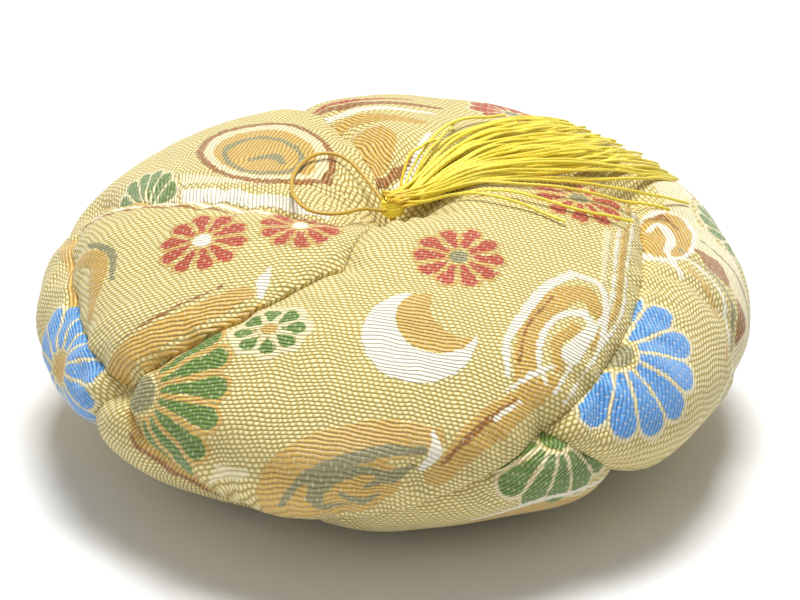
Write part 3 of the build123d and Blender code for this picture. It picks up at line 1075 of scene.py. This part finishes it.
class Growth:
    """Short ways to build a node tree that grows threads along paths."""

    def __init__(self, name, **inputs):
        self.tree = bpy.data.node_groups.new(name, "GeometryNodeTree")
        face = self.tree.interface
        face.new_socket("Paths", in_out="INPUT", socket_type="NodeSocketGeometry")
        face.new_socket("Threads", in_out="OUTPUT", socket_type="NodeSocketGeometry")
        for label, kind in inputs.items():
            face.new_socket(label, in_out="INPUT", socket_type=kind)
        self.entry = self.tree.nodes.new("NodeGroupInput").outputs
        self.exit = self.tree.nodes.new("NodeGroupOutput").inputs

    def add(self, kind, inputs=None, **settings):
        node = self.tree.nodes.new(kind)
        for key, value in settings.items():
            setattr(node, key, value)
        for key, value in (inputs or {}).items():
            if isinstance(value, bpy.types.NodeSocket):
                self.tree.links.new(value, node.inputs[key])
            else:
                node.inputs[key].default_value = value
        return node.outputs

    def math(self, operation, a, b):
        return self.add("ShaderNodeMath", {0: a, 1: b}, operation=operation)[0]

    def named(self, label, kind="FLOAT"):
        node = self.add("GeometryNodeInputNamedAttribute", {"Name": label}, data_type=kind)
        return node["Attribute"]

    def capture(self, curve, label, value):
        """The curve, and a value that is kept on its points."""
        keep = self.tree.nodes.new("GeometryNodeCaptureAttribute")
        keep.capture_items.new("FLOAT", label)
        self.tree.links.new(curve, keep.inputs["Geometry"])
        self.tree.links.new(value, keep.inputs[label])
        return keep.outputs["Geometry"], keep.outputs[label]

    def sweep(self, curve, along, strand):
        """A round thread along a curve, with its length and its strand in the map named cloth."""
        size = {"Resolution": self.entry["Sides"], "Radius": self.entry["Radius"]}
        ring = self.add("GeometryNodeCurvePrimitiveCircle", size)["Curve"]
        factor = self.add("GeometryNodeSplineParameter")["Factor"]
        ring, around = self.capture(ring, "around", factor)
        parts = {"Curve": curve, "Profile Curve": ring, "Fill Caps": True}
        tube = self.add("GeometryNodeCurveToMesh", parts)["Mesh"]
        place = self.math("ADD", self.math("MULTIPLY", strand, STRAND_STEP), around)
        value = self.add("ShaderNodeCombineXYZ", {"X": along, "Y": place})[0]
        store = {"Geometry": tube, "Name": "cloth", "Value": value}
        kind = {"data_type": "FLOAT2", "domain": "CORNER"}
        return self.add("GeometryNodeStoreNamedAttribute", store, **kind)["Geometry"]

    def finish(self, geometry):
        real = self.add("GeometryNodeRealizeInstances", {"Geometry": geometry})["Geometry"]
        smooth = self.add("GeometryNodeSetShadeSmooth", {"Geometry": real})["Geometry"]
        dressed = {"Geometry": smooth, "Material": self.entry["Material"]}
        self.tree.links.new(self.add("GeometryNodeSetMaterial", dressed)["Geometry"], self.exit["Threads"])
        return self.tree


STITCH_SINK, STITCH_ARCH = 1.6, 2.2  # how low a stitch ends and how high it arches, in radii


def thread_tree():
    """Round threads that follow every path."""
    g = Growth("threads", Radius="NodeSocketFloat", Sides="NodeSocketInt", Material="NodeSocketMaterial")
    curve = g.add("GeometryNodeMeshToCurve", {"Mesh": g.entry["Paths"]})["Curve"]
    return g.finish(g.sweep(curve, g.named("along"), g.named("strand")))


def stitch_tree():
    """Short arched stitches, one after another along a seam."""
    kinds = {label: "NodeSocketFloat" for label in ("Radius", "Spacing", "Length")}
    g = Growth("stitches", Sides="NodeSocketInt", Material="NodeSocketMaterial", **kinds)
    curve = g.add("GeometryNodeMeshToCurve", {"Mesh": g.entry["Paths"]})["Curve"]
    spots = g.add("GeometryNodeCurveToPoints", {"Curve": curve, "Length": g.entry["Spacing"]}, mode="LENGTH")
    sunk = g.math("MULTIPLY", g.entry["Radius"], -STITCH_SINK)
    ends = []
    for share in (-0.5, 0.5):
        place = {"X": g.math("MULTIPLY", g.entry["Length"], share), "Z": sunk}
        ends.append(g.add("ShaderNodeCombineXYZ", place)[0])
    crest = g.add("ShaderNodeCombineXYZ", {"Z": g.math("MULTIPLY", g.entry["Radius"], STITCH_ARCH)})[0]
    arch = {"Resolution": 8, "Start": ends[0], "Middle": crest, "End": ends[1]}
    stitch = g.add("GeometryNodeCurveQuadraticBezier", arch)["Curve"]
    along = g.math("MULTIPLY", g.add("GeometryNodeSplineParameter")["Length"], 1 / MM)
    stitch, along = g.capture(stitch, "along", along)
    body = g.sweep(stitch, along, 0.0)
    turned = g.add("FunctionNodeAlignRotationToVector", {"Vector": spots["Tangent"]}, axis="X")["Rotation"]
    upright = {"Rotation": turned, "Vector": g.named("outward", "FLOAT_VECTOR")}
    turned = g.add("FunctionNodeAlignRotationToVector", upright, axis="Z", pivot_axis="X")["Rotation"]
    row = {"Points": spots["Points"], "Instance": body, "Rotation": turned}
    return g.finish(g.add("GeometryNodeInstanceOnPoints", row)["Instances"])


def grow(name, tree, lines, attributes, inputs):
    """A piece that a tree grows along lines in mm."""
    edges, count = [], 0
    for line in lines:
        edges += [(count + i, count + i + 1) for i in range(len(line) - 1)]
        count += len(line)
    mesh = bpy.data.meshes.new(name + "_paths")
    mesh.from_pydata((np.vstack(lines) * MM).tolist(), edges, [])
    for label, values in attributes.items():
        kind, field = ("FLOAT", "value") if values.ndim == 1 else ("FLOAT_VECTOR", "vector")
        layer = mesh.attributes.new(label, kind, "POINT")
        layer.data.foreach_set(field, values.astype(np.float32).ravel())
    paths = bpy.data.objects.new(name + "_paths", mesh)
    bpy.context.scene.collection.objects.link(paths)
    modifier = paths.modifiers.new("grow", "NODES")
    modifier.node_group = tree
    for item in tree.interface.items_tree:
        if item.name in inputs:
            modifier[item.identifier] = inputs[item.name]
    view = bpy.context.evaluated_depsgraph_get()
    grown = bpy.data.meshes.new_from_object(
        paths.evaluated_get(view), preserve_all_data_layers=True, depsgraph=view
    )
    bpy.data.objects.remove(paths)
    bpy.data.meshes.remove(mesh)
    grown.name = name
    piece = bpy.data.objects.new(name, grown)
    bpy.context.scene.collection.objects.link(piece)
    return piece


THREAD_SIDES = 6


def thread_object(name, lines, radius, material, sides=THREAD_SIDES):
    """Many round threads as one piece; each line is a list of points in mm."""
    lines = [np.asarray(line, float) for line in lines]
    along = [along_line(line) for line in lines]
    strand = [np.full(len(line), number) for number, line in enumerate(lines)]
    attributes = {"along": np.concatenate(along), "strand": np.concatenate(strand)}
    inputs = {"Radius": radius * MM, "Sides": sides, "Material": material}
    return grow(name, THREADS, lines, attributes, inputs)


STITCH = 2.4  # mm from one stitch to the next
STITCH_RADIUS = 0.16
STITCH_LENGTH = 1.7
STITCH_DEPTH = 0.45  # below the bottom of the seam's valley
STITCH_LOWEST = 0.45  # above the table
ROW_START, ROW_END = 2.6, 1.2  # mm left bare at a seam's two ends


def make_seam_thread(name, material):
    """A row of small running stitches along a seam, down in its valley."""
    ball = seam_line(name, 0.5)
    base = drape(ball, {})
    along = along_line(base)
    keep = (along > ROW_START) & (along < along[-1] - ROW_END)
    away = outward(ball)[keep]
    line = base[keep] - away * STITCH_DEPTH
    line[:, 2] = np.maximum(line[:, 2], STITCH_LOWEST)
    inputs = {
        "Radius": STITCH_RADIUS * MM,
        "Sides": THREAD_SIDES,
        "Spacing": STITCH * MM,
        "Length": STITCH_LENGTH * MM,
        "Material": material,
    }
    piece = grow(f"seam_thread_{name}", STITCHES, [line], {"outward": away}, inputs)
    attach(piece, "root")
    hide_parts(f"seam_thread_{name}")


# Tassel
STRANDS = 68
STRAND_RADIUS = 0.19
FAN_START, FAN_SPREAD = 23, 28  # degrees round
BEND_START, BEND_SPREAD = -37, 38  # degrees that a strand turns on its way out
LONGEST = 41.0
BINDING_LOW, BINDING_HIGH = (corner[2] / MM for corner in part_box("tassel_binding"))
BINDING_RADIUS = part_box("tassel_binding")[1][0] / MM


def strand_line(rng, degrees, bend, reach, layer):
    """One strand from the binding, over the crown, to its tip at degrees round and reach out."""
    share = np.linspace(0, 1, 32)
    angle = math.radians(degrees) + math.radians(bend) * (1 - share)
    radius = BINDING_RADIUS * 0.7 + (reach - BINDING_RADIUS) * share
    sway = rng.uniform(0.1, 0.55) * np.sin(share * rng.uniform(5, 13) + rng.uniform(0, 6)) * share
    angle = angle + sway / np.maximum(radius, 4)
    x, y = radius * np.cos(angle), radius * np.sin(angle)
    surface = top_height(x, y)
    rise = BLOWN.rise_at(np.column_stack([x, y, surface])) if BLOWN else PUFF
    surface = surface + np.maximum(rise - DRAWN_IN, 0) + 0.25 + STRAND_RADIUS
    arch = layer * np.sin(np.clip(share * 1.2, 0, 1) * math.pi) ** 0.8
    z = surface + 0.1 + arch + layer * 0.25
    z += 0.14 * np.sin(share * rng.uniform(8, 20) + rng.uniform(0, 6))
    z = np.maximum(z, surface)
    settle = eased(np.clip(share / 0.2, 0, 1))
    start = math.radians(rng.uniform(-130, 170))
    behind = (1 - math.cos(start - math.radians(20))) / 2
    root = (1.3 * math.cos(start), 1.3 * math.sin(start), 30.3 + 1.9 * behind + rng.uniform(0, 0.4))
    line = np.column_stack([x, y, z])
    return np.array(root) * (1 - settle)[:, None] + line * settle[:, None]


# Strands that stray from the rest: degrees round, bend, reach, height
STRAYS = [
    (-22, -8, 23.0, 0.5),
    (-9, -16, 30.0, 0.3),
    (4, -22, 34.5, 0.6),
    (13, -26, 38.0, 0.4),
    (57, 10, 26.0, 0.6),
    (62, -14, 17.0, 1.3),
    (60, 12, 12.0, 1.9),
]


def make_tassel(material):
    """Loose silk strands that lie over the crown, tied at their root."""
    rng = np.random.default_rng(SEED)
    lines = [strand_line(rng, *stray) for stray in STRAYS]
    for number in range(STRANDS):
        fan = (number + rng.uniform(0, 1)) / STRANDS
        degrees = FAN_START + FAN_SPREAD * fan + rng.normal(0, 2.4)
        bend = BEND_START + BEND_SPREAD * fan + rng.normal(0, 7)
        reach = LONGEST - 8.0 * fan - 9.0 * rng.uniform(0, 1) ** 1.5
        layer = rng.uniform(0, 1) ** 1.5 * 1.5 * (1 - 0.6 * fan)
        lines.append(strand_line(rng, degrees, bend, reach, layer))
    piece = thread_object("tassel_skein", lines, STRAND_RADIUS, material)
    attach(piece, "root")
    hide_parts("tassel_skein")


def make_binding(material):
    """Thread wound round the root of the tassel, over a twisted core."""
    turns, wind = 6.5, 0.22
    share = np.linspace(0, 1, 170)
    angle = share * turns * 2 * math.pi
    height = BINDING_LOW + wind + share * (BINDING_HIGH - BINDING_LOW - 2 * wind)
    radius = BINDING_RADIUS - wind - 0.12 * np.sin(share * math.pi * 3)
    coil = np.column_stack([radius * np.cos(angle), radius * np.sin(angle), height])
    lines = [coil]
    for k in range(7):
        around = 2 * math.pi * k / 7 + share[::8] * 1.5
        core = (BINDING_RADIUS - 0.75) * np.column_stack([np.cos(around), np.sin(around)])
        rise = BINDING_LOW + 0.1 + share[::8] * (BINDING_HIGH - BINDING_LOW - 0.2)
        lines.append(np.column_stack([core, rise]))
    piece = thread_object("tassel_binding", lines, wind, material, sides=7)
    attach(piece, "root")
    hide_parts("tassel_binding")


def make_knot(material):
    """Finishing knot under the base: a thread wound over and through itself."""
    low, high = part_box("base_knot")
    middle = (np.array(low) + np.array(high)) / 2 / MM
    size = (high[2] - low[2]) / 2 / MM - 0.28
    angle = np.linspace(0, 2 * math.pi, 90)
    ring = 0.62 + 0.38 * np.cos(3 * angle)
    line = np.column_stack([
        size * ring * np.cos(2 * angle),
        size * ring * np.sin(2 * angle),
        size * 0.8 * np.sin(3 * angle),
    ]) + middle
    piece = thread_object("base_knot", [line], 0.28, material)
    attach(piece, "root")
    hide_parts("base_knot")


# Loose loop of thread: the route's points, in mm
THREAD_ROUTE = [
    (-1.1, 0.9, 30.5),
    (-3.0, 3.9, 32.0),
    (-5.9, 7.0, 33.9),
    (-9.2, 7.2, 34.2),
    (-11.4, 4.0, 34.2),
    (-12.4, -0.4, 34.2),
    (-12.0, -5.0, 34.2),
    (-9.9, -8.6, 34.2),
    (-6.4, -9.2, 34.2),
    (-3.6, -6.0, 33.4),
    (-2.0, -2.8, 31.4),
    (-0.9, -1.0, 30.3),
]
THREAD_DIAMETER = 0.45


def make_loose_thread(material):
    """One strand that has come loose in a loop."""
    curve = bpy.data.curves.new("loose_thread", "CURVE")
    curve.dimensions = "3D"
    curve.bevel_depth = THREAD_DIAMETER / 2 * MM
    curve.bevel_resolution = 3
    curve.use_fill_caps = True
    curve.resolution_u = 8
    spline = curve.splines.new("NURBS")
    spline.points.add(len(THREAD_ROUTE) - 1)
    for point, place in zip(spline.points, THREAD_ROUTE):
        point.co = (*(value * MM for value in place), 1.0)
    spline.order_u = 3
    spline.use_endpoint_u = True
    curve.materials.append(material)
    piece = bpy.data.objects.new("loose_thread", curve)
    bpy.context.scene.collection.objects.link(piece)
    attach(piece, "root")
    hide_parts("loose_thread")


# ---------------------------------------------------------------- studio

CAMERA_ELEVATION = 29.0
CAMERA_DISTANCE = 600.0
CAMERA_TARGET = (0.9, -0.7, 17.8)
CAMERA_LENS = 219.4


def make_camera():
    data = bpy.data.cameras.new("camera")
    data.lens = CAMERA_LENS
    data.sensor_width = 36.0
    data.clip_start, data.clip_end = 0.01, 10.0
    camera = bpy.data.objects.new("camera", data)
    angle = math.radians(CAMERA_ELEVATION)
    back = Vector((0, -math.cos(angle), math.sin(angle)))
    camera.location = (Vector(CAMERA_TARGET) + back * CAMERA_DISTANCE) * MM
    camera.rotation_euler = back.to_track_quat("Z", "Y").to_euler()
    bpy.context.scene.collection.objects.link(camera)
    bpy.context.scene.camera = camera


def area_light(name, place, size, power, colour=(1, 1, 1)):
    data = bpy.data.lights.new(name, "AREA")
    data.size, data.energy, data.color = size, power, colour
    light = bpy.data.objects.new(name, data)
    light.location = place
    light.rotation_euler = (Vector(place) - Vector((0, 0, 0.02))).to_track_quat("Z", "Y").to_euler()
    bpy.context.scene.collection.objects.link(light)


def make_studio(material):
    """Pale floor, soft light from above and a white surround."""
    size = 3.0
    corners = [(-size, -size, 0), (size, -size, 0), (size, size, 0), (-size, size, 0)]
    mesh = bpy.data.meshes.new("floor")
    mesh.from_pydata(corners, [], [(0, 1, 2, 3)])
    mesh.materials.append(material)
    floor = bpy.data.objects.new("floor", mesh)
    bpy.context.scene.collection.objects.link(floor)
    area_light("top_light", (0.02, 0.12, 0.62), 0.30, 5.2)
    area_light("front_light", (-0.35, -0.5, 0.42), 0.3, 0.4)
    world = bpy.data.worlds.new("surround")
    world.use_nodes = True
    world.node_tree.nodes["Background"].inputs["Color"].default_value = (1, 1, 1, 1)
    world.node_tree.nodes["Background"].inputs["Strength"].default_value = 0.34
    bpy.context.scene.world = world
    bpy.context.scene.view_settings.view_transform = "Standard"


# ---------------------------------------------------------------- build

THREADS = thread_tree()
STITCHES = stitch_tree()
make_camera()
# The tassel's silk carries painted shade towards its root.
gold_silk = silk("tassel_silk", srgb(255, 243, 88), srgb(228, 176, 28), 0.9, rough=0.3, root=0.55)
make_loose_thread(silk("loose_silk", srgb(220, 184, 72), srgb(160, 118, 32), 0.9))
make_studio(backdrop())

BLOWN = BlownCloth()
cloth_points, cloth_triangles = ball_mesh(CLOTH_EDGES)
cloth_material = brocade()
for panel_name in PANELS:
    make_panel(panel_name, cloth_points, cloth_triangles, cloth_material)
make_stuffing(cotton())

sewing = silk("sewing_thread", srgb(206, 178, 108), srgb(140, 110, 52), 0.6, rough=0.55)
for seam_name in SEAMS:
    make_seam_thread(seam_name, sewing)
waxed = silk("tie_thread", srgb(214, 184, 84), srgb(150, 114, 36), 0.8, rough=0.5)
make_knot(waxed)
for slot in bpy.data.objects["tie_thread"].material_slots:
    slot.material = waxed
make_binding(gold_silk)
make_tassel(gold_silk)
